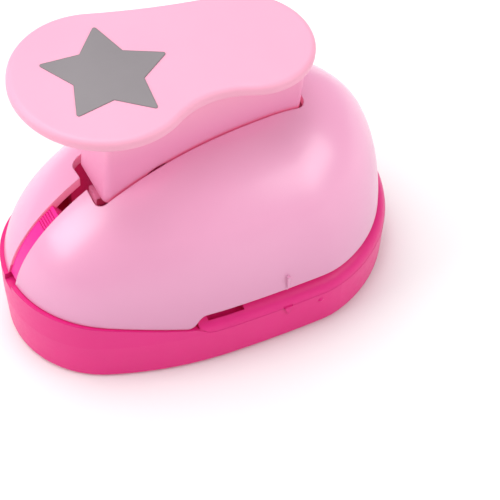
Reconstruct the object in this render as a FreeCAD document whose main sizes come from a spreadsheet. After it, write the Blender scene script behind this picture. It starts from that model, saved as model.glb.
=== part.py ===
import FreeCAD, Part
import Sketcher
import math
import os

# A lever craft punch that cuts a 25 mm paper star.
# Frame: +X towards the blunt end where the paper goes in, the rounded nose towards -X, +Z up,
# the table at Z = 0 and the plane Y = 0 cutting the punch into two mirrored halves.

os.makedirs("parts", exist_ok=True)
doc = FreeCAD.newDocument("craft_punch")
V = FreeCAD.Vector
Y_AXIS = V(0, 1, 0)

# ---------------------------------------------------------------- driving dimensions (mm, degrees)
DIMS = dict(
    # plan outline: an egg of tangent arcs, mirrored in Y
    nose_x=-42.5, back_x=42.5, widest_x=16.5, half_width=26.4,
    nose_radius=21.1, cheek_radius=79.5, side_radius=275.0,
    hip_radius=17.1, rump_radius=29.5, tail_radius=17.2,
    # base
    foot_inset=0.5, foot_round=1.2, wall=2.2, cavity_top=9.0, deck_top=11.0,
    rim_nose_z=17.9, rim_mid_x=-27.0, rim_mid_z=16.0, rim_step_x=-13.5, rim_step_z=12.6,
    ledge_foot_x=-7.5, ledge_foot_z=10.3, ledge_round=3.7, paper_z=14.0,
    chute_radius=14.8, chute_wall=1.8, cover_bottom=0.6, cover_thick=1.6, cover_inset=3.0,
    # upper shell
    shell_inset=0.5, shell_back_inset=2.4, shell_wall=2.0, seam_gap=0.25,
    dome_foot_z=13.9, dome_top_x=11.8, dome_top_z=48.2, nose_arch=1.94, back_arch=2.5, side_arch=1.95,
    slot_edge_x=-9.5, slot_edge_z=16.1,
    opening_front=-24.5, opening_back=21.4, opening_half=6.9, nose_slot_half=1.7,
    mark_x=8.1,
    # die set
    star_x=6.7, star_tip=13.1, star_ratio=0.54, star_play=0.2,
    plate_front=-17.0, die_back=24.0, plate_half=15.0, plate_round=2.0,
    paper_gap=1.0, guide_thick=2.5, guide_tail=34.0, guide_tail_half=9.9, spacer_back=-10.0,
    cutter_rest_z=15.4, cutter_top=27.0, flange_thick=3.0, boss_top=33.0, boss_radius=5.5,
    # guide posts and springs
    post_radius=1.5, post_top=30.3, front_post_x=3.0, front_post_y=11.4, back_post_x=16.4, back_post_y=7.05,
    spring_radius=2.2, spring_wire=0.6, spring_pitch=1.55,
    # lever
    pivot_x=30.0, pivot_z=26.0, pivot_radius=2.0, lever_tilt=5.6, pad_z=65.1,
    pad_big_x=-19.3, pad_big_radius=17.7, pad_small_x=11.0, pad_small_y=-0.9, pad_small_radius=13.4,
    pad_near_waist=17.5, pad_far_waist=150.0,
    label_x=-18.1, pad_thick=2.5, block_front=-20.0, block_back=22.4, block_half=6.4, block_wall=1.9,
    block_round=1.5, block_drop=29.0,
    arm_inner=4.6, arm_outer=7.4, arm_eye=4.2,
    pusher_x=9.63, pusher_drop=29.5, pusher_half=3.8, pin_radius=1.5,
    # bracket
    ear_inner=8.4, ear_thick=1.6, ear_half=3.6,
    # lock slide, an arc about its own centre inside the nose
    lock_x=-13.2, lock_z=10.9, lock_face=28.8, lock_root=26.2, lock_low=165.0, lock_high=127.7,
    lock_half=1.5, carrier_root=24.6, carrier_half=3.6,
)
sheet = doc.addObject("Spreadsheet::Sheet", "dims")
for row, (name, value) in enumerate(DIMS.items(), start=1):
    sheet.set(f"A{row}", name)
    sheet.set(f"B{row}", str(value))
    sheet.setAlias(f"B{row}", name)
doc.recompute()


def bind(obj, prop, text):
    """Bind a property to the sheet; plain words in the text are the sheet's aliases."""
    words = "".join(c if c.isalnum() or c == "_" else " " for c in text).split()
    for word in sorted(set(words), key=len, reverse=True):
        if word in DIMS:
            text = replace_word(text, word, "dims." + word)
    obj.setExpression(prop, text)


def replace_word(text, word, new):
    out, i = "", 0
    while i < len(text):
        end = i + len(word)
        before = text[i - 1] if i else " "
        after = text[end] if end < len(text) else " "
        if text.startswith(word, i) and not (before.isalnum() or before in "_.") \
                and not (after.isalnum() or after == "_"):
            out, i = out + new, end
        else:
            out, i = out + text[i], i + 1
    return out


def size(name):
    return sheet.get(name)


NODES = []


def node(obj, name):
    """Name a finished sub-part and keep it for export."""
    obj.Label = name
    NODES.append(obj)
    return obj


# ---------------------------------------------------------------- Part workbench helpers
def box(name, x0, x1, y0, y1, z0, z1):
    b = doc.addObject("Part::Box", name)
    for prop, low, high in (("Length", x0, x1), ("Width", y0, y1), ("Height", z0, z1)):
        bind(b, prop, f"({high}) - ({low})")
    for axis, low in zip("xyz", (x0, y0, z0)):
        bind(b, "Placement.Base." + axis, low)
    return b


def rod(name, x, y, z0, z1, radius):
    c = doc.addObject("Part::Cylinder", name)
    bind(c, "Radius", radius)
    bind(c, "Height", f"({z1}) - ({z0})")
    for axis, low in zip("xyz", (x, y, z0)):
        bind(c, "Placement.Base." + axis, low)
    return c


def cross_rod(name, x, z, y0, y1, radius):
    """A cylinder along Y."""
    c = rod(name, x, y0, z, f"({z}) + ({y1}) - ({y0})", radius)
    c.Placement = FreeCAD.Placement(V(0, 0, 0), FreeCAD.Rotation(V(1, 0, 0), -90))
    for axis, low in zip("xyz", (x, y0, z)):
        bind(c, "Placement.Base." + axis, low)
    return c


def solid(name, shape):
    f = doc.addObject("Part::Feature", name)
    f.Shape = shape
    return f


def fuse(name, *shapes):
    f = doc.addObject("Part::MultiFuse", name)
    f.Shapes = list(shapes)
    return f


def cut(name, base, *tools):
    c = doc.addObject("Part::Cut", name)
    c.Base = base
    c.Tool = tools[0] if len(tools) == 1 else fuse(name + "_tools", *tools)
    return c


def common(name, first, second):
    c = doc.addObject("Part::MultiCommon", name)
    c.Shapes = [first, second]
    return c


def group(name, *pieces):
    g = doc.addObject("Part::Compound", name)
    g.Links = list(pieces)
    return g


# ---------------------------------------------------------------- PartDesign helpers
def new_body(name):
    return doc.addObject("PartDesign::Body", name)


def new_sketch(body, name, plane="XY_Plane", height=None):
    s = body.newObject("Sketcher::SketchObject", name)
    s.AttachmentSupport = [([f for f in body.Origin.OriginFeatures if f.Role == plane][0], "")]
    s.MapMode = "FlatFace"
    if height is not None:
        bind(s, "AttachmentOffset.Base.z", height)
    return s


def polygon(sketch, points):
    first = sketch.GeometryCount
    count = len(points)
    for i, (x, y) in enumerate(points):
        nx, ny = points[(i + 1) % count]
        sketch.addGeometry(Part.LineSegment(V(x, y, 0), V(nx, ny, 0)))
    for i in range(count):
        sketch.addConstraint(Sketcher.Constraint("Coincident", first + i, 2, first + (i + 1) % count, 1))


def rectangle(sketch, x0, x1, y0, y1):
    """A rectangle whose four sides are held by sheet expressions."""
    first = sketch.GeometryCount
    polygon(sketch, [(-1, -1), (1, -1), (1, 1), (-1, 1)])
    for i, way in enumerate(("Horizontal", "Vertical", "Horizontal", "Vertical")):
        sketch.addConstraint(Sketcher.Constraint(way, first + i))
    sides = (("DistanceX", 0, 1, x0), ("DistanceX", 1, 1, x1),
             ("DistanceY", 0, 1, y0), ("DistanceY", 2, 1, y1))
    for way, line, end, text in sides:
        c = sketch.addConstraint(Sketcher.Constraint(way, -1, 1, first + line, end, 1.0))
        name = f"side_{c}"
        sketch.renameConstraint(c, name)
        bind(sketch, "Constraints." + name, text)


def round_rectangle(sketch, x0, x1, half, radius):
    """Rectangle centred on Y = 0 with round corners."""
    bulge = radius * (1 - math.sqrt(0.5))
    for end, step in ((x0, 1), (x1, -1)):
        inner = end + step * radius
        for side in (-1, 1):
            sketch.addGeometry(Part.Arc(V(end, side * (half - radius), 0),
                                        V(end + step * bulge, side * (half - bulge), 0),
                                        V(inner, side * half, 0)))
        sketch.addGeometry(Part.LineSegment(V(end, radius - half, 0), V(end, half - radius, 0)))
    for side in (-1, 1):
        sketch.addGeometry(Part.LineSegment(V(x0 + radius, side * half, 0), V(x1 - radius, side * half, 0)))


def circle(sketch, x, y, radius):
    g = sketch.addGeometry(Part.Circle(V(1, 1, 0), V(0, 0, 1), 1.0))
    for way, text in (("DistanceX", x), ("DistanceY", y)):
        c = sketch.addConstraint(Sketcher.Constraint(way, -1, 1, g, 3, 1.0))
        sketch.renameConstraint(c, f"place_{c}")
        bind(sketch, f"Constraints.place_{c}", text)
    c = sketch.addConstraint(Sketcher.Constraint("Radius", g, 1.0))
    sketch.renameConstraint(c, f"radius_{c}")
    bind(sketch, f"Constraints.radius_{c}", radius)


def pad(body, sketch, length, symmetric=False, back=False):
    p = body.newObject("PartDesign::Pad", sketch.Name + "_pad")
    p.Profile = sketch
    bind(p, "Length", length)
    p.Reversed = back
    if symmetric:
        p.SideType = "Symmetric"
    body.Tip = p
    doc.recompute()
    return p


def pocket(body, sketch, length, symmetric=False, back=False):
    before = body.Shape.Volume
    p = body.newObject("PartDesign::Pocket", sketch.Name + "_pocket")
    p.Profile = sketch
    bind(p, "Length", length)
    p.Reversed = back
    if symmetric:
        p.SideType = "Symmetric"
    body.Tip = p
    doc.recompute()
    assert body.Shape.Volume < before - 0.01, sketch.Name + " cuts nothing"
    return p


def fillet(body, name, radius, wanted):
    """Round the edges of the body's tip that wanted(edge) picks."""
    tip = body.Tip
    picked = [f"Edge{i}" for i, e in enumerate(tip.Shape.Edges, start=1) if wanted(e)]
    assert picked, name + " picks no edge"
    f = body.newObject("PartDesign::Fillet", name)
    f.Base = (tip, picked)
    f.Radius = radius
    body.Tip = f
    doc.recompute()
    return f


def is_upright(edge):
    d = edge.tangentAt(edge.FirstParameter)
    return abs(d.z) > 0.999


# ---------------------------------------------------------------- outlines
def quarter_arcs(tip_x, tip_radius, mid_radius, side_radius):
    """Three tangent arcs from a tip on the axis to the widest place: (centre, start, end) each."""
    widest, half = size("widest_x"), size("half_width")
    way = 1 if tip_x < widest else -1
    tip, crest = V(tip_x, 0, 0), V(widest, half, 0)
    a, c = V(tip_x + way * tip_radius, 0, 0), V(widest, half - side_radius, 0)
    reach_a, reach_c = mid_radius - tip_radius, abs(side_radius - mid_radius)
    span = (c - a).Length
    along = (reach_a ** 2 - reach_c ** 2 + span ** 2) / (2 * span)
    aside = math.sqrt(reach_a ** 2 - along ** 2)
    u = (c - a) / span
    choices = [a + u * along + V(-u.y, u.x, 0) * (sign * aside) for sign in (1, -1)]
    b = min(choices, key=lambda q: abs(q.x - widest))
    first = a + (a - b) / reach_a * tip_radius
    outward = (c - b) / reach_c
    second = c + outward * side_radius if side_radius < mid_radius else b - outward * mid_radius
    return [(a, tip, first), (b, first, second), (c, second, crest)]


def half_outline():
    """The six arcs of the +Y half, nose tip to tail tip."""
    nose = quarter_arcs(size("nose_x"), size("nose_radius"), size("cheek_radius"), size("side_radius"))
    back = quarter_arcs(size("back_x"), size("tail_radius"), size("rump_radius"), size("hip_radius"))
    return nose + [(c, end, start) for c, start, end in reversed(back)]


def arc_points(centre, start, end, fractions):
    radius = (start - centre).Length
    a = math.atan2(start.y - centre.y, start.x - centre.x)
    turn = math.atan2(end.y - centre.y, end.x - centre.x) - a
    turn = (turn + math.pi) % (2 * math.pi) - math.pi
    return [centre + V(math.cos(a + turn * f), math.sin(a + turn * f), 0) * radius for f in fractions]


def egg(inset, z=0.0):
    """The outline as a wire of arcs, drawn in by the inset."""
    def drawn_in(centre, point):
        way = point - centre
        return centre + way * ((way.Length - inset) / way.Length) + V(0, 0, z)

    def mirror(point):
        return V(point.x, -point.y, point.z)

    upper = []
    for centre, start, end in half_outline():
        middle = arc_points(centre, start, end, [0.5])[0]
        upper.append([drawn_in(centre, q) for q in (start, middle, end)])
    nose, tail = upper[0], upper[-1]
    sides = [Part.Arc(*q).toShape() for q in upper[1:-1]]
    lower = [Part.Arc(mirror(q[2]), mirror(q[1]), mirror(q[0])).toShape() for q in reversed(upper[1:-1])]
    nose_arc = Part.Arc(mirror(nose[2]), nose[0], nose[2]).toShape()
    tail_arc = Part.Arc(tail[0], tail[2], mirror(tail[0])).toShape()
    return Part.Wire([nose_arc] + sides + [tail_arc] + lower)


def stretched_egg(nose_x, back_x, widest, half, z):
    """The same outline pulled to other lengths and widths, as one smooth closed curve."""
    upper = []
    for centre, start, end in half_outline():
        count = max(2, round((end - start).Length / 4.5))
        upper += arc_points(centre, start, end, [k / count for k in range(count)])
    lower = [V(p.x, -p.y, 0) for p in reversed(upper[1:])]
    loop = upper + [V(size("back_x"), 0, 0)] + lower
    along, placed = [0.0], []
    for p, q in zip(loop, loop[1:] + loop[:1]):
        along.append(along[-1] + (q - p).Length)
        d = p.x - size("widest_x")
        reach = (nose_x - widest) / (size("nose_x") - size("widest_x"))
        if d > 0:
            reach = (back_x - widest) / (size("back_x") - size("widest_x"))
        placed.append(V(widest + d * reach, p.y * half / size("half_width"), z))
    curve = Part.BSplineCurve()
    curve.interpolate(Points=placed, Parameters=along, PeriodicFlag=True)
    return Part.Wire(curve.toShape())


def egg_prism(inset, z0, z1):
    return Part.Face(egg(inset, z0)).extrude(V(0, 0, z1 - z0))


def dome(inset):
    """The shell's outer form, or its inner form when drawn in by the wall."""
    foot, top = size("dome_foot_z"), size("dome_top_z") - inset
    nose = size("nose_x") + size("shell_inset") + inset
    back = size("back_x") - size("shell_back_inset") - inset
    half = size("half_width") - size("shell_inset") + 0.2 - inset
    top_x = size("dome_top_x")
    levels = (-0.1, -0.04, 0.0, 0.08, 0.17, 0.28, 0.4, 0.52, 0.64, 0.74, 0.83, 0.9, 0.95, 0.983)
    wires = []
    for level in levels:
        up = max(level, 0.0)

        def arch(power):
            return (1 - up ** power) ** (1 / power)

        wide = arch(size("side_arch"))
        wires.append(stretched_egg(top_x - (top_x - nose) * arch(size("nose_arch")),
                                   top_x + (back - top_x) * arch(size("back_arch")),
                                   size("widest_x") + (top_x - size("widest_x")) * (1 - wide),
                                   half * wide, foot + (top - foot) * level))
    return Part.makeLoft(wires, True, False)


def star_points(tip, x=0.0, turn=0.0):
    points = []
    for k in range(10):
        radius = tip if k % 2 == 0 else tip * size("star_ratio")
        a = math.radians(turn + 36 * k)
        points.append((x + radius * math.cos(a), radius * math.sin(a)))
    return points


def side_profile(name, edges):
    """A flat face in the XZ plane, thickened to both sides into a cutting tool."""
    reach = 60
    face = Part.Face(Part.Wire(edges))
    face.translate(V(0, -reach, 0))
    return solid(name, face.extrude(V(0, 2 * reach, 0)))


def line(a, b):
    return Part.LineSegment(V(a[0], 0, a[1]), V(b[0], 0, b[1])).toShape()


def rim_edges(lift):
    """Top line of the base's nose half: an arc that falls towards the step."""
    nose = V(size("nose_x") - 2, 0, size("rim_nose_z") + lift)
    mid = V(size("rim_mid_x"), 0, size("rim_mid_z") + lift)
    step = V(size("rim_step_x"), 0, size("rim_step_z") + lift)
    return Part.Arc(nose, mid, step).toShape(), nose, step


def s_bend(start, end, pull=0.5):
    """A level-ended S curve between two points of the XZ plane."""
    span = (end.x - start.x) * pull
    curve = Part.BezierCurve()
    curve.setPoles([start, start + V(span, 0, 0), end - V(span, 0, 0), end])
    return curve.toShape()


# ---------------------------------------------------------------- base
def level_edges(shape, z):
    return [e for e in shape.Edges if abs(e.BoundBox.ZMin - z) < 0.01 and abs(e.BoundBox.ZMax - z) < 0.01]


def triangle(x0, x1, top, tip, y, thick):
    """A thin wedge that points down, its flat back in the plane y."""
    corners = [V(x0, y, top), V(x1, y, top), V((x0 + x1) / 2, y, tip)]
    return Part.Face(Part.makePolygon(corners + corners[:1])).extrude(V(0, thick, 0))


def base_body():
    foot, outline = size("foot_inset"), size("ledge_foot_z")
    skirt = Part.makeLoft([egg(foot), egg(0, outline)], True, True)
    skirt = skirt.makeFillet(size("foot_round"), level_edges(skirt, 0.0))
    ledge = egg_prism(0.05, outline, size("paper_z"))
    ledge = ledge.makeFillet(size("ledge_round") - 0.1, level_edges(ledge, size("paper_z")))

    # nose wall, standing up to the seam with the shell
    arc, nose, step = rim_edges(0.0)
    low = V(size("ledge_foot_x"), 0, outline)
    top = 25
    above = side_profile("above_rim", [arc, s_bend(step, low), line((low.x, low.z), (60, outline)),
                                       line((60, outline), (60, top)), line((60, top), (nose.x, top)),
                                       line((nose.x, top), (nose.x, nose.z))])
    nose_wall = cut("nose_wall", solid("nose_wall_blank", egg_prism(0, outline, 19)), above)
    ledge_back = cut("ledge_back", solid("base_ledge", ledge),
                     box("ledge_off_nose", "nose_x - 5", "slot_edge_x - 1.7",
                         "-half_width - 5", "half_width + 5",
                         "deck_top - 2", "20"))
    whole = fuse("base_whole", solid("base_skirt", skirt), ledge_back, nose_wall)

    # hollows: under the deck, above the deck in the nose, and the seat of the die plate
    wall = size("wall")
    under = solid("under_deck", egg_prism(foot + wall, -1, size("cavity_top")))
    nose_room = common("nose_room", solid("nose_room_blank", egg_prism(wall, size("deck_top"), 22)),
                       box("nose_half", "nose_x", "rim_step_x + 1.5", "-half_width", "half_width",
                           "deck_top", "22"))
    seat = box("die_seat", "plate_front - 0.2", "die_back + 0.2", "-plate_half - 0.2", "plate_half + 0.2",
               "deck_top", "20")
    hollow = cut("base_hollow", whole, under, nose_room, seat)

    # the paper gap's sunken front ends, and the notch that the lock slide runs down into
    front_ends = common("gap_front_band", solid("gap_front_blank", egg_prism(1.3, 12.2, 20)),
                        box("gap_front_reach", "slot_edge_x + 0.5", "slot_edge_x + 8.3",
                            "-half_width", "half_width", "12.2", "20"))
    notch = box("slide_notch", "nose_x - 1", "nose_x + 3", "-nose_slot_half", "nose_slot_half",
                "rim_nose_z - 1.4", "20")
    relieved = cut("base_relieved", hollow, front_ends, notch)

    # screw posts and the ring that leads the punched stars down
    ribs = [rod("chute", "star_x", "0", "cover_bottom + cover_thick + 0.2", "cavity_top + 0.5",
                "chute_radius + chute_wall")]
    for i, (x, y, low_z) in enumerate(BASE_POSTS):
        ribs.append(rod(f"base_post_{i}", str(x), str(y), str(low_z), "cavity_top + 0.5", "3"))
    for i, (x, y) in enumerate(COVER_SCREWS):
        ribs.append(rod(f"cover_post_{i}", str(x), str(y), "cover_bottom + cover_thick + 0.02",
                        "cavity_top + 0.5", "2.6"))
    ribbed = fuse("base_ribbed", relieved, *ribs)
    holes = [rod("chip_hole", "star_x", "0", "-1", "deck_top + 1", "chute_radius")]
    for i, (x, y, low_z) in enumerate(BASE_POSTS):
        holes.append(rod(f"base_hole_{i}", str(x), str(y), "-1", "deck_top + 1", "1.55"))
    for i, (x, y) in enumerate(COVER_SCREWS):
        holes.append(rod(f"cover_hole_{i}", str(x), str(y), "-1", "cavity_top - 1", "1.05"))
    for i, (x, y) in enumerate(KEEPER_SCREWS):
        holes.append(rod(f"keeper_pilot_{i}", str(x), str(y), "9.3", "deck_top + 1", "1"))
    drilled = cut("base_drilled", ribbed, *holes)

    # line-up marks on both sides: a raised wedge near the cutter's centre and a round pip behind it
    marks = []
    x, root = size("mark_x"), size("half_width") - 2
    for side in (-1, 1):
        wedge = triangle(x - 1.0, x + 1.0, 10.6, 8.0, side * root, side * 2.2)
        pip = Part.makeSphere(0.7, V(x + 7.6, side * (size("half_width") - 0.45), 8.4))
        marks += [solid("wedge_mark", wedge), solid("pip_mark", pip)]
    return node(fuse("base_body", drilled, *marks), "base_body")


# ---------------------------------------------------------------- screws
def screw(name, x, y, tip_z, head_z, head_up, shaft="1.4", head="2.7", head_tall="1.6"):
    """A pan-head screw along Z with a cross recess; the head sits above head_z or below it."""
    way = 1 if head_up else -1
    ends = sorted((0, way * float(head_tall)))
    shank_ends = sorted((float(tip_z), float(head_z)))
    shank = rod(name + "_shank", x, y, str(shank_ends[0]), str(shank_ends[1]), shaft)
    cap = rod(name + "_head", x, y, f"{head_z} + {ends[0]}", f"{head_z} + {ends[1]}", head)
    face = float(head_z) + way * float(head_tall)
    lo, hi = sorted((face - way * 0.8, face + way * 0.5))
    slots = [box(f"{name}_slot_{k}", f"{x} - {a}", f"{x} + {a}", f"{y} - {b}", f"{y} + {b}", str(lo), str(hi))
             for k, (a, b) in enumerate(((1.5, 0.3), (0.3, 1.5)))]
    return cut(name, fuse(name + "_body", shank, cap), *slots)


SHELL_SCREWS = [(-31.0, -10.0), (-31.0, 10.0), (-19.0, -16.5), (-19.0, 16.5)]
FRAME_SCREWS = [(-13.5, -12.0), (-13.5, 12.0)]
DIE_SCREWS = [(20.5, -12.0), (20.5, 12.0)]
COVER_SCREWS = [(-34.0, 0.0), (-8.0, -19.5), (-8.0, 19.5), (36.0, 0.0)]
PLATE_RIVETS = [(-13.5, -5.0), (-13.5, 5.0)]
KEEPER_LEG_X = -36.9
KEEPER_SCREWS = [(-32.9, -4.2), (-32.9, 4.2)]
BASE_POSTS = [(x, y, 5.0) for x, y in SHELL_SCREWS] + [(x, y, 5.5) for x, y in FRAME_SCREWS + DIE_SCREWS]


def fasteners():
    node(group("shell_screws", *[screw(f"shell_screw_{i}", str(x), str(y), 21, 5.0, False)
                                 for i, (x, y) in enumerate(SHELL_SCREWS)]), "shell_screws")
    node(group("frame_screws", *[screw(f"frame_screw_{i}", str(x), str(y), 6.5, 17.5, True)
                                 for i, (x, y) in enumerate(FRAME_SCREWS)]), "frame_screws")
    node(group("cover_screws", *[screw(f"cover_screw_{i}", str(x), str(y), 7.0, 1.6, False, shaft="0.95",
                                       head="2.1", head_tall="1.0")
                                 for i, (x, y) in enumerate(COVER_SCREWS)]), "cover_screws")
    flat = []
    for i, (x, y) in enumerate(DIE_SCREWS):
        cone = doc.addObject("Part::Cone", f"die_screw_cone_{i}")
        cone.Radius1, cone.Radius2, cone.Height = 1.4, 2.8, 1.4
        cone.Placement.Base = V(x, y, size("paper_z") - 1.5)
        shank = rod(f"die_screw_shank_{i}", str(x), str(y), "6.5", "paper_z - 1.4", "1.4")
        slot = box(f"die_screw_slot_{i}", f"{x} - 1.6", f"{x} + 1.6", f"{y} - 0.3", f"{y} + 0.3",
                   "paper_z - 0.9", "paper_z + 1")
        flat.append(cut(f"die_screw_{i}", fuse(f"die_screw_body_{i}", shank, cone), slot))
    node(group("die_screws", *flat), "die_screws")
    rivets = []
    for i, (x, y) in enumerate(PLATE_RIVETS):
        stem = rod(f"rivet_stem_{i}", str(x), str(y), "deck_top + 0.2",
                   "paper_z + paper_gap + guide_thick", "1.5")
        head = rod(f"rivet_head_{i}", str(x), str(y), "paper_z + paper_gap + guide_thick",
                   "paper_z + paper_gap + guide_thick + 0.9", "2.6")
        rivets.append(fuse(f"rivet_{i}", stem, head))
    node(group("plate_rivets", *rivets), "plate_rivets")


def base_cover():
    plate = solid("cover_plate", egg_prism(size("cover_inset"), size("cover_bottom"),
                                           size("cover_bottom") + size("cover_thick")))
    holes = [rod("cover_opening", "star_x", "0", "-1", "5", "chute_radius")]
    for i, (x, y) in enumerate(COVER_SCREWS):
        holes += [rod(f"cover_clear_{i}", str(x), str(y), "-1", "5", "1.05"),
                  rod(f"cover_sink_{i}", str(x), str(y), "-1", "1.6", "2.3")]
    return node(cut("base_cover", plate, *holes), "base_cover")


# ---------------------------------------------------------------- upper shell
def upper_shell():
    outer = solid("dome_outer", dome(0.0))
    arc, nose, step = rim_edges(size("seam_gap"))
    raised = V(size("slot_edge_x"), 0, size("slot_edge_z"))
    low = 0
    below = [arc, s_bend(step, raised),
             line((raised.x, raised.z), (60, raised.z)), line((60, raised.z), (60, low)),
             line((60, low), (nose.x, low)), line((nose.x, low), (nose.x, nose.z))]
    columns = [rod(f"boss_column_{i}", str(x), str(y), "0", "60", "3")
               for i, (x, y) in enumerate(SHELL_SCREWS)]
    room = cut("dome_room", solid("dome_inner", dome(size("shell_wall"))), *columns)
    skin = cut("dome_skin", outer, room)
    trimmed = cut("shell_trimmed", skin, side_profile("below_seam", below))
    opening = box("lever_opening", "opening_front", "opening_back", "-opening_half", "opening_half", "30", "60")
    soft = doc.addObject("Part::Fillet", "lever_opening_soft")
    doc.recompute()
    soft.Base = opening
    soft.Edges = [(i, 2.0, 2.0) for i, e in enumerate(opening.Shape.Edges, start=1) if is_upright(e)]
    nose_slot = box("nose_slot", "nose_x - 2", "opening_front + 2", "-nose_slot_half", "nose_slot_half",
                    "deck_top", "60")
    opened = cut("shell_opened", trimmed, soft, nose_slot)

    # the screw bosses reach down past the seam to the deck
    feet = [rod(f"boss_foot_{i}", str(x), str(y), "deck_top + 0.3", "22", "2.9")
            for i, (x, y) in enumerate(SHELL_SCREWS)]
    joined = fuse("shell_joined", opened, *feet)
    holes = [rod(f"boss_hole_{i}", str(x), str(y), "deck_top", "22", "1.42")
             for i, (x, y) in enumerate(SHELL_SCREWS)]
    drilled = cut("shell_drilled", joined, *holes)

    # raised tick and its point above the base's wedge, one on each side
    ticks = []
    x, z, root = size("mark_x"), size("slot_edge_z"), size("half_width") - 1.9
    for side in (-1, 1):
        tick = Part.makeBox(0.7, 1.75, 3.4, V(x - 0.35, min(side * root, side * (root + 1.75)), z + 0.5))
        point = triangle(x - 1.2, x + 1.2, z + 0.3, z - 0.7, side * root, side * 1.1)
        ticks += [solid("tick_mark", tick), solid("tick_point", point)]
    return node(fuse("upper_shell", drilled, *ticks), "upper_shell")


# ---------------------------------------------------------------- steel die set
def plate_body(name, rects, z0, thick, holes, star_tip=None):
    """A flat steel plate: rectangles joined, round holes and, where given, the star hole."""
    body = new_body(name)
    for i, (x0, x1, half) in enumerate(rects):
        sketch = new_sketch(body, f"{name}_outline_{i}", height=z0)
        rectangle(sketch, x0, x1, f"-({half})", half)
        pad(body, sketch, thick)
    corners = fillet(body, name + "_corners", 2.0,
                     lambda e: is_upright(e) and abs(abs(e.CenterOfMass.y) - size("plate_half")) < 0.01)
    bind(corners, "Radius", "plate_round")
    drill = new_sketch(body, name + "_holes", height=z0)
    for x, y, radius in holes:
        circle(drill, str(x), str(y), str(radius))
    pocket(body, drill, thick, back=True)
    if star_tip:
        star = new_sketch(body, name + "_star", height=z0)
        polygon(star, star_points(star_tip, size("star_x")))
        pocket(body, star, thick, back=True)
    return node(body, name)


def die_set():
    hole_tip = size("star_tip") + size("star_play")
    posts = post_places()
    through = [(x, y, 1.55) for x, y in FRAME_SCREWS + PLATE_RIVETS]
    die = plate_body("die_plate", [("plate_front", "die_back", "plate_half")], "deck_top",
                     "paper_z - deck_top", through + [(x, y, 1.5) for x, y in DIE_SCREWS], hole_tip)
    for i, (x, y) in enumerate(DIE_SCREWS):
        sink = die.newObject("PartDesign::SubtractiveCone", f"die_sink_{i}")
        sink.Radius1, sink.Radius2, sink.Height = 1.3, 3.3, 2.0
        sink.Placement.Base = V(x, y, size("paper_z") - 1.7)
        die.Tip = sink
        doc.recompute()
    plate_body("spacer_plate", [("plate_front", "spacer_back", "plate_half")], "paper_z", "paper_gap", through)
    plate_body("guide_plate", [("plate_front", "die_back - 2", "plate_half"),
                               ("die_back - 8", "guide_tail", "guide_tail_half")],
               "paper_z + paper_gap", "guide_thick",
               through + [(x, y, 1.55) for x, y in posts] + [(x, y, 1.25) for x, y in BRACKET_SCREWS], hole_tip)


BRACKET_SCREWS = [(30.0, -4.5), (30.0, 4.5)]


def post_places():
    fx, fy = size("front_post_x"), size("front_post_y")
    bx, by = size("back_post_x"), size("back_post_y")
    return [(fx, -fy), (fx, fy), (bx, -by), (bx, by)]


def guide_posts_and_springs():
    low = "paper_z + paper_gap"
    for i, (x, y) in enumerate(post_places(), start=1):
        stem = rod(f"post_stem_{i}", str(x), str(y), low, "post_top", "post_radius")
        head = rod(f"post_head_{i}", str(x), str(y), "post_top", "post_top + 0.9", "post_radius + 1")
        node(fuse(f"guide_post_{i}", stem, head), f"guide_post_{i}")

        foot = size("paper_z") + size("paper_gap") + size("guide_thick") + size("spring_wire") / 2 + 0.05
        tall = size("cutter_top") - size("spring_wire") / 2 - 0.05 - foot
        helix = Part.makeHelix(size("spring_pitch"), tall, size("spring_radius"))
        ring = Part.Circle(V(size("spring_radius"), 0, 0), V(0, 1, 0.1), size("spring_wire") / 2)
        coil = Part.Wire(helix).makePipeShell([Part.Wire(ring.toShape())], True, True)
        spring = solid(f"return_spring_{i}", coil)
        spring.Placement = FreeCAD.Placement(V(x, y, foot), FreeCAD.Rotation())
        node(spring, f"return_spring_{i}")


def star_cutter():
    body = new_body("star_cutter")
    sketch = new_sketch(body, "cutter_outline", height="cutter_rest_z")
    polygon(sketch, star_points(size("star_tip"), size("star_x")))
    pad(body, sketch, "cutter_top - cutter_rest_z")
    drill = new_sketch(body, "cutter_thread", height="cutter_top")
    circle(drill, "star_x", "0", "1.55")
    pocket(body, drill, "7")
    return node(body, "star_cutter")


def punch_holder():
    body = new_body("punch_holder")
    flange = new_sketch(body, "holder_flange", height="cutter_top")
    rectangle(flange, "star_x - 11", "star_x + 14.2", "-14.4", "14.4")
    pad(body, flange, "flange_thick")
    fillet(body, "holder_corners", 3.0, is_upright)
    boss = new_sketch(body, "holder_boss", height="cutter_top")
    circle(boss, "star_x", "0", "boss_radius")
    pad(body, boss, "boss_top - cutter_top")
    drill = new_sketch(body, "holder_holes", height="cutter_top")
    for x, y in post_places():
        circle(drill, str(x), str(y), "post_radius + 0.08")
    circle(drill, "star_x", "0", "1.6")
    pocket(body, drill, "20", back=True)
    sink = new_sketch(body, "holder_sink", height="boss_top")
    circle(sink, "star_x", "0", "2.9")
    pocket(body, sink, "1.8")
    node(body, "punch_holder")
    node(screw("holder_screw", str(size("star_x")), "0", 21, size("boss_top") - 1.8, True, shaft="1.5"),
         "holder_screw")


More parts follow.
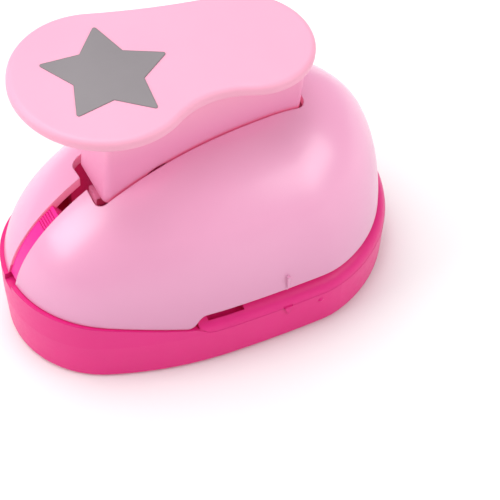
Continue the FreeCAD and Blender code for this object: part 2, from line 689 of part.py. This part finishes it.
# ---------------------------------------------------------------- pivot
def pivot_bracket():
    body = new_body("pivot_bracket")
    base_z = "paper_z + paper_gap + guide_thick"
    web = new_sketch(body, "bracket_web", height=base_z)
    rectangle(web, "pivot_x - ear_half", "pivot_x + ear_half",
              "-ear_inner - ear_thick", "ear_inner + ear_thick")
    pad(body, web, "ear_thick")
    for side in (-1, 1):
        ear = new_sketch(body, f"bracket_ear_{side + 1}", "XZ_Plane",
                         f"{-side} * ear_inner")
        rectangle(ear, "pivot_x - ear_half", "pivot_x + ear_half", base_z, "pivot_z")
        pad(body, ear, "ear_thick", back=side > 0)
        eye = new_sketch(body, f"bracket_eye_{side + 1}", "XZ_Plane", f"{-side} * ear_inner")
        circle(eye, "pivot_x", "pivot_z", "ear_half")
        pad(body, eye, "ear_thick", back=side > 0)
    bore = new_sketch(body, "bracket_bore", "XZ_Plane")
    circle(bore, "pivot_x", "pivot_z", "pivot_radius + 0.02")
    pocket(body, bore, "60", symmetric=True)
    drill = new_sketch(body, "bracket_holes", height=base_z)
    for x, y in BRACKET_SCREWS:
        circle(drill, str(x), str(y), "1.45")
    pocket(body, drill, "ear_thick", back=True)
    node(body, "pivot_bracket")
    head_z = size("paper_z") + size("paper_gap") + size("guide_thick") + size("ear_thick")
    node(group("bracket_screws", *[screw(f"bracket_screw_{i}", str(x), str(y), 15.2, head_z, True, shaft="1.2",
                                         head="2.2", head_tall="1.2")
                                   for i, (x, y) in enumerate(BRACKET_SCREWS)]), "bracket_screws")


def pivot_pin():
    reach = size("ear_inner") + size("ear_thick") + 1.6
    body = new_body("pivot_pin")
    section = new_sketch(body, "pin_section", "XZ_Plane")
    circle(section, "pivot_x", "pivot_z", "pivot_radius")
    pad(body, section, str(2 * reach), symmetric=True)
    for side in (-1, 1):
        groove = new_sketch(body, f"pin_groove_{side + 1}", "XZ_Plane", str(-side * (reach - 1.3)))
        circle(groove, "pivot_x", "pivot_z", "pivot_radius + 1")
        circle(groove, "pivot_x", "pivot_z", "pivot_radius - 0.4")
        pocket(body, groove, "0.6", symmetric=True)
    node(body, "pivot_pin")
    clips = []
    for i, side in enumerate((-1, 1)):
        y = side * (reach - 1.3)
        ring = cross_rod(f"clip_ring_{i}", "pivot_x", "pivot_z", str(y - 0.25), str(y + 0.25),
                         "pivot_radius + 1.3")
        hole = cross_rod(f"clip_hole_{i}", "pivot_x", "pivot_z", str(y - 1), str(y + 1), "pivot_radius - 0.38")
        mouth = box(f"clip_mouth_{i}", "pivot_x - 1.2", "pivot_x + 1.2", str(y - 1), str(y + 1), "pivot_z - 5",
                    "pivot_z")
        clips.append(cut(f"pin_clip_{i}", ring, hole, mouth))
    node(group("pin_clips", *clips), "pin_clips")
    for i, side in enumerate((-1, 1), start=1):
        low, high = sorted((side * (size("arm_outer") + 0.12), side * (size("ear_inner") - 0.08)))
        ring = cross_rod(f"washer_ring_{i}", "pivot_x", "pivot_z", str(low), str(high), "pivot_radius + 1.6")
        hole = cross_rod(f"washer_hole_{i}", "pivot_x", "pivot_z", "-20", "20", "pivot_radius + 0.04")
        node(cut(f"pivot_washer_{i}", ring, hole), f"pivot_washer_{i}")


# ---------------------------------------------------------------- lever
def lever_place():
    """The lever is drawn with its pad level, then tipped nose-up about the pad's own origin."""
    return FreeCAD.Placement(V(0, 0, size("pad_z")), FreeCAD.Rotation(Y_AXIS, size("lever_tilt")))


def to_lever(x, z):
    p = lever_place().inverse().multVec(V(x, 0, z))
    return p.x, p.z


def tip_over(obj):
    obj.Placement = lever_place()
    bind(obj, "Placement.Base.z", "pad_z")


def pad_outline(sketch):
    """Figure-eight pad: a big and a small round end joined by a deep hollow arc and a shallow one."""
    big, small = V(size("pad_big_x"), 0, 0), V(size("pad_small_x"), size("pad_small_y"), 0)
    big_radius, small_radius = size("pad_big_radius"), size("pad_small_radius")
    span = (small - big).Length
    along = (small - big) / span
    ends = []
    for side, waist in ((-1, size("pad_near_waist")), (1, size("pad_far_waist"))):
        reach_big, reach_small = big_radius + waist, small_radius + waist
        offset = (reach_big ** 2 - reach_small ** 2 + span ** 2) / (2 * span)
        aside = math.sqrt(reach_big ** 2 - offset ** 2)
        centre = big + along * offset + V(-along.y, along.x, 0) * (side * aside)
        start = big + (centre - big) * (big_radius / reach_big)
        end = small + (centre - small) * (small_radius / reach_small)
        halfway = ((start + end) / 2 - centre).normalize() * waist
        sketch.addGeometry(Part.Arc(start, centre + halfway, end))
        ends.append((start, end))
    sketch.addGeometry(Part.Arc(ends[0][0], big - along * big_radius, ends[1][0]))
    sketch.addGeometry(Part.Arc(ends[0][1], small + along * small_radius, ends[1][1]))


def lever():
    body = new_body("lever")
    top = new_sketch(body, "pad_outline", height="-pad_thick")
    pad_outline(top)
    pad(body, top, "pad_thick")
    fillet(body, "pad_edge", 1.15, lambda e: e.BoundBox.ZMin > -0.01)
    fillet(body, "pad_under_edge", 0.7, lambda e: abs(e.BoundBox.ZMax + size("pad_thick")) < 0.01)
    block = new_sketch(body, "block_outline", height="-block_drop")
    round_rectangle(block, size("block_front"), size("block_back"), size("block_half"), size("block_round"))
    pad(body, block, "block_drop - pad_thick + 0.5")

    # hollow the block and trim its lower edge behind the front leg
    hollow = new_sketch(body, "block_hollow", height="-block_drop")
    rectangle(hollow, "block_front + block_wall", "block_back - block_wall", "-block_half + block_wall",
              "block_half - block_wall")
    pocket(body, hollow, "block_drop - pad_thick", back=True)
    arch_x, arch_top, arch_radius = -7.1, -22.15, 5.5
    trim = new_sketch(body, "wall_trim", "XZ_Plane")
    foot, middle = -size("block_drop") - 1, arch_top - arch_radius
    left, right, back = arch_x - arch_radius, arch_x + arch_radius, size("block_back") + 1
    trim.addGeometry(Part.LineSegment(V(left, foot, 0), V(left, middle, 0)))
    trim.addGeometry(Part.Arc(V(left, middle, 0), V(arch_x, arch_top, 0), V(right, middle, 0)))
    trim.addGeometry(Part.LineSegment(V(right, middle, 0), V(right, -26.6, 0)))
    trim.addGeometry(Part.LineSegment(V(right, -26.6, 0), V(back, -26.6, 0)))
    trim.addGeometry(Part.LineSegment(V(back, -26.6, 0), V(back, foot, 0)))
    trim.addGeometry(Part.LineSegment(V(back, foot, 0), V(left, foot, 0)))
    pocket(body, trim, "30", symmetric=True)

    # two arms that reach back and down to the pivot
    eye_x, eye_z = to_lever(size("pivot_x"), size("pivot_z"))
    eye = size("arm_eye")
    for side in (-1, 1):
        plane_y = f"{-side} * arm_inner"
        arm = new_sketch(body, f"arm_{side + 1}", "XZ_Plane", plane_y)
        polygon(arm, [(4.0, -23.5), (19.5, -20.5), (26.0, -22.0), (eye_x + eye * 0.75, eye_z + eye * 0.66),
                      (eye_x - eye * 0.8, eye_z - eye * 0.6), (23.0, -30.0), (14.0, -27.5), (4.0, -26.5)])
        pad(body, arm, "arm_outer - arm_inner", back=side > 0)
        ring = new_sketch(body, f"arm_eye_{side + 1}", "XZ_Plane", plane_y)
        circle(ring, str(eye_x), str(eye_z), "arm_eye")
        pad(body, ring, "arm_outer - arm_inner", back=side > 0)
    bore = new_sketch(body, "arm_bore", "XZ_Plane")
    circle(bore, str(eye_x), str(eye_z), "pivot_radius + 0.05")
    pocket(body, bore, "60", symmetric=True)

    # catch behind the front wall, which the lock slide's hook holds when the lever is down
    inner = size("block_front") + size("block_wall")
    drop = -size("block_drop")
    catch = new_sketch(body, "lock_catch", "XZ_Plane")
    polygon(catch, [(inner - 0.1, drop + 6), (inner - 0.1, drop), (inner, drop), (inner, drop - 3.2),
                    (inner - 1.5, drop - 3.2), (inner - 1.5, drop - 5.0), (inner + 1.6, drop - 5.0),
                    (inner + 1.6, drop + 6)])
    pad(body, catch, "4", symmetric=True)
    node(body, "lever")
    tip_over(body)

    # pusher: a rib block inside the lever that carries the hardened pin
    pusher = new_body("pusher_block")
    core = new_sketch(pusher, "pusher_outline", height="-pusher_drop - 0.9")
    rectangle(core, "pusher_x - pusher_half", "pusher_x + pusher_half", "-block_half + block_wall + 0.15",
              "block_half - block_wall - 0.15")
    pad(pusher, core, "pusher_drop + 0.9 - pad_thick - 0.05")
    bore = new_sketch(pusher, "pusher_bore", "XZ_Plane")
    circle(bore, "pusher_x", "-pusher_drop", "pin_radius + 0.02")
    pocket(pusher, bore, "30", symmetric=True)
    node(pusher, "pusher_block")
    tip_over(pusher)
    pin = new_body("pusher_pin")
    section = new_sketch(pin, "pusher_pin_section", "XZ_Plane")
    circle(section, "pusher_x", "-pusher_drop", "pin_radius")
    pad(pin, section, "2 * (block_half - block_wall - 0.2)", symmetric=True)
    node(pin, "pusher_pin")
    tip_over(pin)

    # star label stuck on the big end, a few degrees off square
    label = new_body("star_label")
    outline = new_sketch(label, "label_outline", height="0")
    polygon(outline, star_points(size("star_tip"), size("label_x"), 5.0))
    pad(label, outline, "0.12")
    far = 0.8 * size("star_tip")
    fillet(label, "label_tips", 0.45, lambda e: is_upright(e) and
           math.hypot(e.CenterOfMass.x - size("label_x"), e.CenterOfMass.y) > far)
    node(label, "star_label")
    tip_over(label)


# ---------------------------------------------------------------- lock slide
def arc_sector(sketch, r0, r1, low, high):
    """A ring sector about the sketch's origin, between two angles in degrees."""
    a, b = math.radians(low), math.radians(high)

    def at(radius, angle):
        return V(radius * math.cos(angle), radius * math.sin(angle), 0)

    mid = (a + b) / 2
    sketch.addGeometry(Part.Arc(at(r0, a), at(r0, mid), at(r0, b)))
    sketch.addGeometry(Part.LineSegment(at(r0, b), at(r1, b)))
    sketch.addGeometry(Part.Arc(at(r1, b), at(r1, mid), at(r1, a)))
    sketch.addGeometry(Part.LineSegment(at(r1, a), at(r0, a)))


def place_in_nose(body):
    bind(body, "Placement.Base.x", "lock_x")
    bind(body, "Placement.Base.z", "lock_z")


def lock_slide():
    body = new_body("lock_slide")
    face, root, inner = size("lock_face"), size("lock_root"), size("carrier_root")
    high, low = size("lock_high"), size("lock_low")
    strip = new_sketch(body, "strip", "XZ_Plane")
    arc_sector(strip, root - 0.2, face, high, low)
    pad(body, strip, "2 * lock_half", symmetric=True)
    carrier = new_sketch(body, "carrier", "XZ_Plane")
    arc_sector(carrier, inner, root - 0.1, high + 2, low + 2)
    pad(body, carrier, "2 * carrier_half", symmetric=True)
    for name, r0, r1, a0, a1 in (("hook_arm", 20.2, inner + 0.3, high + 2.8, high + 7.8),
                                 ("hook_nose", 20.2, 22.0, high + 1.1, high + 3.2)):
        piece = new_sketch(body, name, "XZ_Plane")
        arc_sector(piece, r0, r1, a0, a1)
        pad(body, piece, "3.6", symmetric=True)
    # grip ridges across the strip's upper end
    grooves, pitch, depth = 6, 1.3, 0.25
    for i in range(grooves):
        a = high + 1.6 + pitch * i
        groove = new_sketch(body, f"grip_{i}", "XZ_Plane")
        arc_sector(groove, face - depth, face + 0.5, a, a + pitch * 0.45)
        pocket(body, groove, "10", symmetric=True)
    node(body, "lock_slide")
    place_in_nose(body)

    keeper = new_body("lock_keeper")
    inner_z = inner - 0.3
    web = new_sketch(keeper, "keeper_web", "XZ_Plane")
    arc_sector(web, inner_z - 1.5, inner_z, high + 15, low + 1)
    pad(keeper, web, "2 * (carrier_half + 2.4)", symmetric=True)
    for side in (-1, 1):
        rail = new_sketch(keeper, f"keeper_rail_{side + 1}", "XZ_Plane", f"{-side} * (carrier_half + 0.3)")
        arc_sector(rail, inner_z - 0.2, root - 0.5, high + 15, low + 1)
        pad(keeper, rail, "2.1", back=side > 0)
    # it stands on the deck on a short leg with two screws through its foot
    leg_x, deck = KEEPER_LEG_X - size("lock_x"), size("deck_top") - size("lock_z")
    leg = new_sketch(keeper, "keeper_leg", "XZ_Plane")
    rectangle(leg, str(leg_x), str(leg_x + 1.5), str(deck), str(deck + 6.2))
    pad(keeper, leg, "2 * (carrier_half + 2.4)", symmetric=True)
    foot = new_sketch(keeper, "keeper_foot", "XZ_Plane")
    rectangle(foot, str(leg_x), str(leg_x + 6.4), str(deck), str(deck + 1.5))
    pad(keeper, foot, "2 * (carrier_half + 2.4)", symmetric=True)
    drill = new_sketch(keeper, "keeper_holes", height=str(deck))
    for x, y in KEEPER_SCREWS:
        circle(drill, str(x - size("lock_x")), str(y), "1.05")
    pocket(keeper, drill, "1.5", back=True)
    node(keeper, "lock_keeper")
    place_in_nose(keeper)
    node(group("keeper_screws", *[screw(f"keeper_screw_{i}", str(x), str(y), 9.4, size("deck_top") + 1.5, True,
                                        shaft="0.95", head="1.9", head_tall="1.0")
                                  for i, (x, y) in enumerate(KEEPER_SCREWS)]), "keeper_screws")


# ---------------------------------------------------------------- build, check, export
base_body()
base_cover()
fasteners()
upper_shell()
die_set()
guide_posts_and_springs()
star_cutter()
punch_holder()
pivot_bracket()
pivot_pin()
lever()
lock_slide()
doc.recompute()

faults = [f"{o.Name}: {o.State}" for o in doc.Objects if "Invalid" in o.State or "Error" in o.State]
for part in NODES:
    shape = part.Shape
    if shape.isNull() or not shape.isValid() or not shape.Solids:
        faults.append(part.Label + ": bad shape")
if faults:
    raise RuntimeError("; ".join(faults))
for part in NODES:
    part.Shape.exportStep(os.path.join("parts", part.Label + ".step"))
    b = part.Shape.BoundBox
    print(f"{part.Label:18s} solids {len(part.Shape.Solids)}  volume {part.Shape.Volume:9.1f}  "
          f"x {b.XMin:6.1f} {b.XMax:6.1f}  y {b.YMin:6.1f} {b.YMax:6.1f}  z {b.ZMin:6.1f} {b.ZMax:6.1f}")
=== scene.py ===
import bpy
import bmesh
import math
from mathutils import Matrix, Vector


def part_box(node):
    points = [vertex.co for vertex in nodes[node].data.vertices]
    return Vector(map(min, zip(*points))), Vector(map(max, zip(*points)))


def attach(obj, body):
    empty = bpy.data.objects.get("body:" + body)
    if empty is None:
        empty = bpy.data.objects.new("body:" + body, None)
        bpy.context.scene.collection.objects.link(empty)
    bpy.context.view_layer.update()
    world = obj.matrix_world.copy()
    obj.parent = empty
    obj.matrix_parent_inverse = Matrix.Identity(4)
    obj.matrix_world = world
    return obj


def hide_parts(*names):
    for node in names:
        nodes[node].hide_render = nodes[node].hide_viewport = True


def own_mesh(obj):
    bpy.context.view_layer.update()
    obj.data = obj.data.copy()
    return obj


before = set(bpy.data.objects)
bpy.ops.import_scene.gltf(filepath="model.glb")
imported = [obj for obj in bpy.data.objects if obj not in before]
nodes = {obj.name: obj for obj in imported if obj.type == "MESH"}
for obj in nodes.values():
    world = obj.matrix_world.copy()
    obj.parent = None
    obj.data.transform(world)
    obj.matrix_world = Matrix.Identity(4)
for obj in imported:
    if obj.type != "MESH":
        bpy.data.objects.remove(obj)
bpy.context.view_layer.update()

MM = 0.001
WHITE = (1, 1, 1, 1)
BLACK = (0.0, 0.0, 0.0)
scene = bpy.context.scene


# ---------------------------------------------------------------- camera, light, floor
def make_camera():
    """A long lens above the nose's left, rolled a little, with the punch left of centre."""
    turn, rise, roll = math.radians(27.56), math.radians(51.36), math.radians(0.91)
    focal_mm, sensor_mm = 144.0, 36.0
    clip_near, clip_far = 0.01, 20.0
    # the place was fitted in units of 1.07 mm, from a point 64 units towards the back of the punch
    unit, origin_x = 1.07 * MM, 64.0
    raised, moved_left, distance = -19.812, 46.517, 421.05

    right = Vector((math.cos(turn), -math.sin(turn), 0))
    up = Vector((math.sin(turn) * math.sin(rise), math.cos(turn) * math.sin(rise), math.cos(rise)))
    ahead = Vector((math.sin(turn) * math.cos(rise), math.cos(turn) * math.cos(rise), -math.sin(rise)))
    image_right = right * math.cos(roll) + up * math.sin(roll)
    image_up = up * math.cos(roll) - right * math.sin(roll)
    centre = image_up * raised - image_right * moved_left - ahead * distance
    place = Vector((centre.x + origin_x, centre.y, centre.z)) * unit
    axes = Matrix((image_right, image_up, -ahead)).transposed()

    data = bpy.data.cameras.new("camera")
    data.lens, data.sensor_width = focal_mm, sensor_mm
    data.clip_start, data.clip_end = clip_near, clip_far
    camera = bpy.data.objects.new("camera", data)
    scene.collection.objects.link(camera)
    camera.matrix_world = Matrix.Translation(place) @ axes.to_4x4()
    scene.camera = camera


def area_light(name, place, aim, width, height, power):
    """A rectangular soft light that faces the aim; lengths in metres and power in watts."""
    data = bpy.data.lights.new(name, "AREA")
    data.shape, data.size, data.size_y = "RECTANGLE", width, height
    data.energy = power
    light = bpy.data.objects.new(name, data)
    scene.collection.objects.link(light)
    way = Vector(aim) - Vector(place)
    light.location = place
    light.rotation_euler = way.to_track_quat("-Z", "Y").to_euler()


def make_studio():
    """An even white surround with three soft lights, and a pale floor."""
    surround = 0.47
    world = bpy.data.worlds.new("studio")
    world.use_nodes = True
    background = world.node_tree.nodes["Background"]
    background.inputs["Color"].default_value = WHITE
    background.inputs["Strength"].default_value = surround
    scene.world = world

    punch_middle = (0, 0, 0.03)
    area_light("top_softbox", (-0.05, 0.15, 0.60), punch_middle, width=0.50, height=0.50, power=2.6)
    area_light("nose_softbox", (-0.50, 0.08, 0.33), punch_middle, width=0.32, height=0.32, power=1.35)
    area_light("side_strip", (0.38, -0.44, 0.29), punch_middle, width=0.50, height=0.24, power=1.25)
    scene.view_settings.view_transform = "Standard"
    scene.view_settings.look = "None"

    floor_half_size = 3.0
    mesh = bpy.data.meshes.new("floor")
    work = bmesh.new()
    bmesh.ops.create_grid(work, x_segments=1, y_segments=1, size=floor_half_size)
    work.to_mesh(mesh)
    work.free()
    floor = bpy.data.objects.new("floor", mesh)
    scene.collection.objects.link(floor)
    mesh.materials.append(floor_white())


# ---------------------------------------------------------------- shader nodes
def shader_material(name):
    m = bpy.data.materials.new(name)
    m.use_nodes = True
    return m, m.node_tree.nodes["Principled BSDF"]


def new_node(m, kind, **values):
    """A node with its values set, each on the input or the property of that name."""
    n = m.node_tree.nodes.new(kind)
    for key, value in values.items():
        if key in n.inputs:
            n.inputs[key].default_value = value
        else:
            setattr(n, key, value)
    return n


def place_of(m):
    """Object coordinates, so a pattern stays with its piece at its real scale."""
    return new_node(m, "ShaderNodeTexCoord").outputs["Object"]


def place_parts(m):
    """The X, Y and Z of the object coordinates."""
    split = new_node(m, "ShaderNodeSeparateXYZ")
    m.node_tree.links.new(place_of(m), split.inputs["Vector"])
    return split.outputs


def two_tone(m, factor, low, high):
    """A ramp from low to high over the middle of a noise's range."""
    ramp = new_node(m, "ShaderNodeValToRGB")
    m.node_tree.links.new(factor, ramp.inputs["Fac"])
    for stop, position, colour in zip(ramp.color_ramp.elements, (0.3, 0.7), (low, high)):
        stop.position = position
        stop.color = (*colour, 1)
    return ramp.outputs["Color"]


def noise_at(m, scale, detail, stretch=None):
    source = place_of(m)
    if stretch:
        mapping = new_node(m, "ShaderNodeMapping", Scale=stretch)
        m.node_tree.links.new(source, mapping.inputs["Vector"])
        source = mapping.outputs["Vector"]
    noise = new_node(m, "ShaderNodeTexNoise", Scale=scale, Detail=detail)
    m.node_tree.links.new(source, noise.inputs["Vector"])
    return noise.outputs["Fac"]


def map_range(m, value, low, high, from_low=0.3, from_high=0.7):
    """The value carried from one range to another; the default one is the middle of a noise's range."""
    r = new_node(m, "ShaderNodeMapRange", **{"From Min": from_low, "From Max": from_high,
                                             "To Min": low, "To Max": high})
    m.node_tree.links.new(value, r.inputs["Value"])
    return r.outputs["Result"]


def maths(m, operation, first, second):
    """A Math node; each operand is a number or another node's output."""
    n = new_node(m, "ShaderNodeMath", operation=operation)
    for socket, value in zip(n.inputs, (first, second)):
        if isinstance(value, (int, float)):
            socket.default_value = value
        else:
            m.node_tree.links.new(value, socket)
    return n.outputs[0]


def mix_colours(m, factor, first, second):
    """A colour Mix node; each colour is a tuple or another node's output."""
    colour_a, colour_b, colour_result = 6, 7, 2
    mix = new_node(m, "ShaderNodeMix", data_type="RGBA")
    m.node_tree.links.new(factor, mix.inputs["Factor"])
    for socket, value in zip((mix.inputs[colour_a], mix.inputs[colour_b]), (first, second)):
        if isinstance(value, tuple):
            socket.default_value = (*value, 1)
        else:
            m.node_tree.links.new(value, socket)
    return mix.outputs[colour_result]


def bump(m, height, strength, distance, normal=None):
    n = new_node(m, "ShaderNodeBump", Strength=strength, Distance=distance)
    m.node_tree.links.new(height, n.inputs["Height"])
    if normal is not None:
        m.node_tree.links.new(normal, n.inputs["Normal"])
    return n.outputs["Normal"]


def looks_inward(m):
    """1 on faces that look back at the dome's middle line, 0 elsewhere."""
    core_half_length, core_height = 15 * MM, 12 * MM
    links = m.node_tree.links
    coordinates = new_node(m, "ShaderNodeTexCoord")
    split = new_node(m, "ShaderNodeSeparateXYZ")
    links.new(coordinates.outputs["Object"], split.inputs["Vector"])
    not_past_back = maths(m, "MINIMUM", split.outputs["X"], core_half_length)
    along = maths(m, "MAXIMUM", not_past_back, -core_half_length)
    core = new_node(m, "ShaderNodeCombineXYZ", Z=core_height)
    links.new(along, core.inputs["X"])
    outward = new_node(m, "ShaderNodeVectorMath", operation="SUBTRACT")
    links.new(coordinates.outputs["Object"], outward.inputs[0])
    links.new(core.outputs["Vector"], outward.inputs[1])
    facing = new_node(m, "ShaderNodeVectorMath", operation="DOT_PRODUCT")
    links.new(outward.outputs["Vector"], facing.inputs[0])
    links.new(coordinates.outputs["Normal"], facing.inputs[1])
    return maths(m, "LESS_THAN", facing.outputs["Value"], 0.0)


def beside_opening(m):
    """1 near the nose slot and the lever opening, high on the shell, 0 elsewhere."""
    half_width, from_height = 7.2 * MM, 20 * MM
    place = place_parts(m)
    narrow = maths(m, "LESS_THAN", maths(m, "ABSOLUTE", place["Y"], 0.0), half_width)
    high = maths(m, "GREATER_THAN", place["Z"], from_height)
    return maths(m, "MULTIPLY", narrow, high)


# ---------------------------------------------------------------- materials
# Noise on the object coordinates has its scale per metre: 60 gives clouds of about 17 mm, and 4000 a grain
# of a quarter of a millimetre.
def floor_white():
    m, shader = shader_material("floor_white")
    noise = new_node(m, "ShaderNodeTexNoise", Scale=3.0)
    shade = two_tone(m, noise.outputs["Fac"], (0.93, 0.935, 0.935), (0.96, 0.96, 0.96))
    m.node_tree.links.new(shade, shader.inputs["Base Color"])
    shader.inputs["Roughness"].default_value = 0.9
    shader.inputs["Specular IOR Level"].default_value = 0.1
    return m


def moulded_plastic(name, colour, shade, rough=(0.30, 0.38), gloss=0.5, coat=0.0, painted_shade_below=None, painted_inner_light=None):
    """Moulded plastic: faint cloudy colour, surface grain, flow waviness and softened edges.

    A colour of painted shade, with the heights in metres that it fades between, darkens the lower part.
    The inner tuple gives a painted shade colour and a painted glow to inner faces, then a lighter painted
    colour and glow to the cuts through the wall: the glow is painted light.
    """
    m, shader = shader_material(name)
    links = m.node_tree.links
    body_colour = two_tone(m, noise_at(m, 60.0, 3.0), shade, colour)
    # Painted shade: the colour is mixed towards a darker one below the given heights.
    if painted_shade_below:
        painted_shade_colour, low, high = painted_shade_below
        painted_shade_weight = map_range(m, place_parts(m)["Z"], 1.0, 0.0, low, high)
        body_colour = mix_colours(m, painted_shade_weight, body_colour, painted_shade_colour)
    # Painted light and shade: inner faces get a darker crimson colour and a faint emission glow, and the
    # cut faces near the openings get a lighter colour and glow.
    if painted_inner_light:
        inner_shade_colour, inner_painted_glow, cut_lit_colour, cut_painted_glow = painted_inner_light
        inward, cuts = looks_inward(m), beside_opening(m)
        painted_inner_colour = mix_colours(m, cuts, inner_shade_colour, cut_lit_colour)
        body_colour = mix_colours(m, inward, body_colour, painted_inner_colour)
        painted_glow = mix_colours(m, inward, BLACK, mix_colours(m, cuts, inner_painted_glow, cut_painted_glow))
        links.new(painted_glow, shader.inputs["Emission Color"])
        shader.inputs["Emission Strength"].default_value = 1.0
    links.new(body_colour, shader.inputs["Base Color"])
    links.new(map_range(m, noise_at(m, 900.0, 4.0), *rough), shader.inputs["Roughness"])

    edge = new_node(m, "ShaderNodeBevel", samples=4, Radius=0.3 * MM)
    grain = bump(m, noise_at(m, 4000.0, 2.0), 0.35, 0.012 * MM, edge.outputs["Normal"])
    wavy = bump(m, noise_at(m, 120.0, 1.0), 0.4, 0.05 * MM, grain)
    links.new(wavy, shader.inputs["Normal"])
    shader.inputs["Specular IOR Level"].default_value = gloss
    shader.inputs["Coat Weight"].default_value = coat
    shader.inputs["Coat Roughness"].default_value = 0.2
    return m


def metal(name, colour, shade, rough=(0.25, 0.4), stretch=(1, 30, 1)):
    """Steel or alloy with drawn or ground lines; stretch packs the lines closer along an axis."""
    m, shader = shader_material(name)
    links = m.node_tree.links
    lines = noise_at(m, 300.0, 4.0, stretch)
    links.new(two_tone(m, lines, shade, colour), shader.inputs["Base Color"])
    links.new(map_range(m, noise_at(m, 500.0, 3.0), *rough), shader.inputs["Roughness"])
    shader.inputs["Metallic"].default_value = 1.0
    links.new(bump(m, lines, 0.5, 0.01 * MM), shader.inputs["Normal"])
    return m


make_camera()
make_studio()

base_pink = moulded_plastic("base_pink", (0.78, 0.020, 0.225), (0.75, 0.018, 0.21), gloss=0.25)
# The shell's lower part is darkened with painted shade, and its inner and cut faces get painted shade
# colours and a painted glow.
shell_pink = moulded_plastic("shell_pink", (0.91, 0.38, 0.60), (0.89, 0.36, 0.58), rough=(0.34, 0.40),
                             gloss=0.9, coat=0.6, painted_shade_below=((0.60, 0.21, 0.39), 0.008, 0.034),
                             painted_inner_light=((0.85, 0.10, 0.30), (0.16, 0.006, 0.035),
                                     (0.91, 0.34, 0.50), (0.26, 0.06, 0.11)))
# The lever's lower part, the block under the pad, is darkened with painted shade.
lever_pink = moulded_plastic("lever_pink", (0.91, 0.40, 0.55), (0.89, 0.385, 0.535), rough=(0.38, 0.46),
                             gloss=0.35, painted_shade_below=((0.86, 0.29, 0.50), 0.048, 0.060))
lock_pink = moulded_plastic("lock_pink", (0.93, 0.02, 0.32), (0.90, 0.018, 0.30), gloss=0.3)
keeper_pink = moulded_plastic("keeper_pink", (0.62, 0.02, 0.14), (0.58, 0.02, 0.13), gloss=0.3)
label_grey = moulded_plastic("label_grey", (0.26, 0.235, 0.248), (0.235, 0.212, 0.224),
                             rough=(0.45, 0.55), gloss=0.3)
plate_steel = metal("plate_steel", (0.66, 0.67, 0.69), (0.52, 0.53, 0.55))
cutter_steel = metal("cutter_steel", (0.60, 0.61, 0.63), (0.48, 0.49, 0.51), stretch=(30, 30, 1))
holder_alloy = metal("holder_alloy", (0.60, 0.60, 0.61), (0.50, 0.50, 0.51), rough=(0.45, 0.6),
                     stretch=(1, 1, 1))
pin_steel = metal("pin_steel", (0.72, 0.72, 0.73), (0.60, 0.60, 0.61), rough=(0.15, 0.25))
screw_steel = metal("screw_steel", (0.66, 0.66, 0.67), (0.55, 0.55, 0.56), rough=(0.2, 0.32))
spring_steel = metal("spring_steel", (0.58, 0.59, 0.60), (0.46, 0.47, 0.48), rough=(0.2, 0.3))
washer_nylon = moulded_plastic("washer_nylon", (0.80, 0.78, 0.72), (0.76, 0.74, 0.68))

FINISH = {
    "base_body": base_pink, "base_cover": base_pink, "upper_shell": shell_pink,
    "lever": lever_pink, "pusher_block": lever_pink, "star_label": label_grey,
    "lock_slide": lock_pink, "lock_keeper": keeper_pink,
    "die_plate": plate_steel, "spacer_plate": plate_steel, "guide_plate": plate_steel,
    "pivot_bracket": plate_steel, "star_cutter": cutter_steel, "punch_holder": holder_alloy,
    "pivot_pin": pin_steel, "pusher_pin": pin_steel, "plate_rivets": pin_steel,
    "pivot_washer_1": washer_nylon, "pivot_washer_2": washer_nylon,
}


def finish_of(name):
    """The material of a node: its own entry, or the one for springs, posts or small hardware."""
    if name in FINISH:
        return FINISH[name]
    if "spring" in name:
        return spring_steel
    return pin_steel if "post" in name else screw_steel


for name, thing in nodes.items():
    for place in thing.material_slots:
        place.material = finish_of(name)


# ---------------------------------------------------------------- return springs
def coil_path(low, high, wire):
    """Points up a coil with closed end turns, each with the direction straight out from the axis.

    Low and high are the corners of the coil's box, and wire is the wire's radius.
    """
    turns, end_turns, steps_per_turn = 7.5, 1.0, 24
    centre = (low + high) / 2
    radius = (high.x - low.x) / 2 - wire
    closed = 2 * wire * end_turns
    rise = high.z - low.z - 2 * wire
    points = []
    for i in range(int(turns * steps_per_turn) + 1):
        t = i / steps_per_turn
        if t < end_turns:
            height = closed * t / end_turns
        elif t > turns - end_turns:
            height = rise - closed * (turns - t) / end_turns
        else:
            height = closed + (rise - 2 * closed) * (t - end_turns) / (turns - 2 * end_turns)
        angle = 2 * math.pi * t
        outward = Vector((math.cos(angle), math.sin(angle), 0))
        points.append((Vector((centre.x, centre.y, low.z + wire + height)) + outward * radius, outward))
    return points


def coil_spring(name):
    """The CAD spring drawn again with closed end turns, fixed to the housing."""
    low, high = (Vector(corner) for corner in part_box(name))
    wire, sides = 0.3 * MM, 8
    mesh = bpy.data.meshes.new(name + "_coil")
    work = bmesh.new()
    rings = []
    for middle, outward in coil_path(low, high, wire):
        ring = []
        for k in range(sides):
            around = 2 * math.pi * k / sides
            offset = outward * (wire * math.cos(around)) + Vector((0, 0, wire * math.sin(around)))
            ring.append(work.verts.new(middle + offset))
        rings.append(ring)
    for ring, following in zip(rings, rings[1:]):
        for k in range(sides):
            after = (k + 1) % sides
            work.faces.new((ring[k], following[k], following[after], ring[after]))
    work.faces.new(rings[0])
    work.faces.new(list(reversed(rings[-1])))
    bmesh.ops.recalc_face_normals(work, faces=work.faces)
    work.to_mesh(mesh)
    work.free()
    mesh.shade_smooth()
    mesh.materials.append(spring_steel)
    coil = bpy.data.objects.new(name + "_coil", mesh)
    scene.collection.objects.link(coil)
    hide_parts(name)
    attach(coil, "housing")
    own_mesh(coil)


for number in range(1, 5):
    coil_spring(f"return_spring_{number}")
